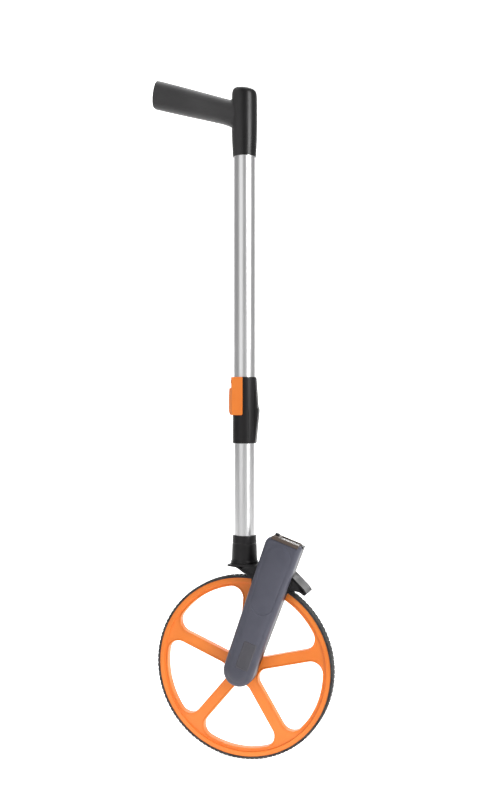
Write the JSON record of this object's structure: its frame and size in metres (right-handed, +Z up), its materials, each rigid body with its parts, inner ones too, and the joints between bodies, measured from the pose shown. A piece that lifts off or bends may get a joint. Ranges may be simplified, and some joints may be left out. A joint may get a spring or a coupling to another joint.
{
  "type": "measuring wheel",
  "caption": "One-metre survey measuring wheel with a side arm counter, a telescopic tube with a lever clamp and an angled pistol grip.",
  "frame": {"origin": "the point where the tyre touches the ground, straight under the axle, in the wheel's middle plane", "axes": "+Z up along the tube, +X forward away from the user (the grip points to -X), +Y to the wheel's free side (the arm is on -Y)"},
  "size_m": [0.3298, 0.0698, 1.1957],
  "materials": {
    "wheel_plastic": "moulded, semi-matt",
    "tyre_rubber": "ribbed rubber",
    "black_plastic": "moulded, satin",
    "dark_plastic": "moulded, matt",
    "bezel_plastic": "moulded, semi-matt",
    "grey_plastic": "moulded, fine texture",
    "label_plastic": "smooth inlay",
    "handle_plastic": "moulded, fine texture",
    "drum_plastic": "smooth",
    "clear_plastic": "clear, polished",
    "belt_rubber": "matt",
    "aluminium_tube": "natural anodised, satin",
    "steel": "zinc plated"
  },
  "bodies": {
    "arm": {"arm_chassis": "black_plastic", "arm_cover": "grey_plastic", "cover_label": "label_plastic", "cover_screws": "steel", "crown": "black_plastic", "crown_screws": "steel", "counter_frame": "steel", "display_bezel": "bezel_plastic", "counter_window": "clear_plastic", "tube_socket": "black_plastic", "socket_screw": "steel", "lower_tube": "aluminium_tube", "guide_bush": "dark_plastic", "hub_bearings": "steel", "timing_belt": "belt_rubber"},
    "wheel": {"wheel": "wheel_plastic", "tyre": "tyre_rubber", "hub_cap": "black_plastic", "axle": "steel", "axle_nut": "steel", "drive_pulley": "dark_plastic"},
    "counter_drive": {"counter_pulley": "dark_plastic", "counter_shaft": "steel", "drum_tenths": "drum_plastic"},
    "drum_2": {"drum_metres": "drum_plastic"},
    "drum_3": {"drum_tens": "drum_plastic"},
    "drum_4": {"drum_hundreds": "drum_plastic"},
    "drum_5": {"drum_thousands": "drum_plastic"},
    "reset": {"reset_button": "dark_plastic"},
    "handle": {"upper_tube": "aluminium_tube", "collar": "black_plastic", "lever_pins": "steel", "handle_front": "handle_plastic", "handle_rear": "handle_plastic", "handle_screws": "steel"},
    "lever": {"lock_lever": "wheel_plastic"},
    "shoe": {"brake_shoe": "dark_plastic"}
  },
  "joints": [
    {"name": "wheel_spin", "type": "hinge", "parent": "arm", "child": "wheel", "pos_m": [0, 0, 0.15915], "axis": [0, 1, 0], "continuous": true},
    {"name": "counter_spin", "type": "hinge", "parent": "arm", "child": "counter_drive", "pos_m": [0.07994, 0, 0.36418], "axis": [0, 1, 0], "continuous": true},
    {"name": "drum_metres_spin", "type": "hinge", "parent": "arm", "child": "drum_2", "pos_m": [0.07994, 0, 0.36418], "axis": [0, 1, 0], "continuous": true},
    {"name": "drum_tens_spin", "type": "hinge", "parent": "arm", "child": "drum_3", "pos_m": [0.07994, 0, 0.36418], "axis": [0, 1, 0], "continuous": true},
    {"name": "drum_hundreds_spin", "type": "hinge", "parent": "arm", "child": "drum_4", "pos_m": [0.07994, 0, 0.36418], "axis": [0, 1, 0], "continuous": true},
    {"name": "drum_thousands_spin", "type": "hinge", "parent": "arm", "child": "drum_5", "pos_m": [0.07994, 0, 0.36418], "axis": [0, 1, 0], "continuous": true},
    {"name": "reset_press", "type": "slide", "parent": "arm", "child": "reset", "axis": [-0.342, 0, -0.9397], "range_m": [0, 0.003], "stiffness_N_per_m": 300},
    {"name": "handle_telescope", "type": "slide", "parent": "arm", "child": "handle", "axis": [0, 0, -1], "range_m": [0, 0.155]},
    {"name": "lever_flip", "type": "hinge", "parent": "handle", "child": "lever", "pos_m": [-0.012, 0, 0.655], "axis": [0, 1, 0], "range_deg": [0, 90]},
    {"name": "shoe_press", "type": "slide", "parent": "handle", "child": "shoe", "axis": [-1, 0, 0], "range_m": [0, 0.0005]}
  ],
  "couplings": [
    {"joint": "counter_spin", "follows": "wheel_spin", "ratio": 1},
    {"joint": "drum_metres_spin", "follows": "wheel_spin", "ratio": 0.1},
    {"joint": "drum_tens_spin", "follows": "wheel_spin", "ratio": 0.01},
    {"joint": "drum_hundreds_spin", "follows": "wheel_spin", "ratio": 0.001},
    {"joint": "drum_thousands_spin", "follows": "wheel_spin", "ratio": 0.0001},
    {"joint": "shoe_press", "follows": "lever_flip", "m_per_rad": 0.00031}
  ]
}
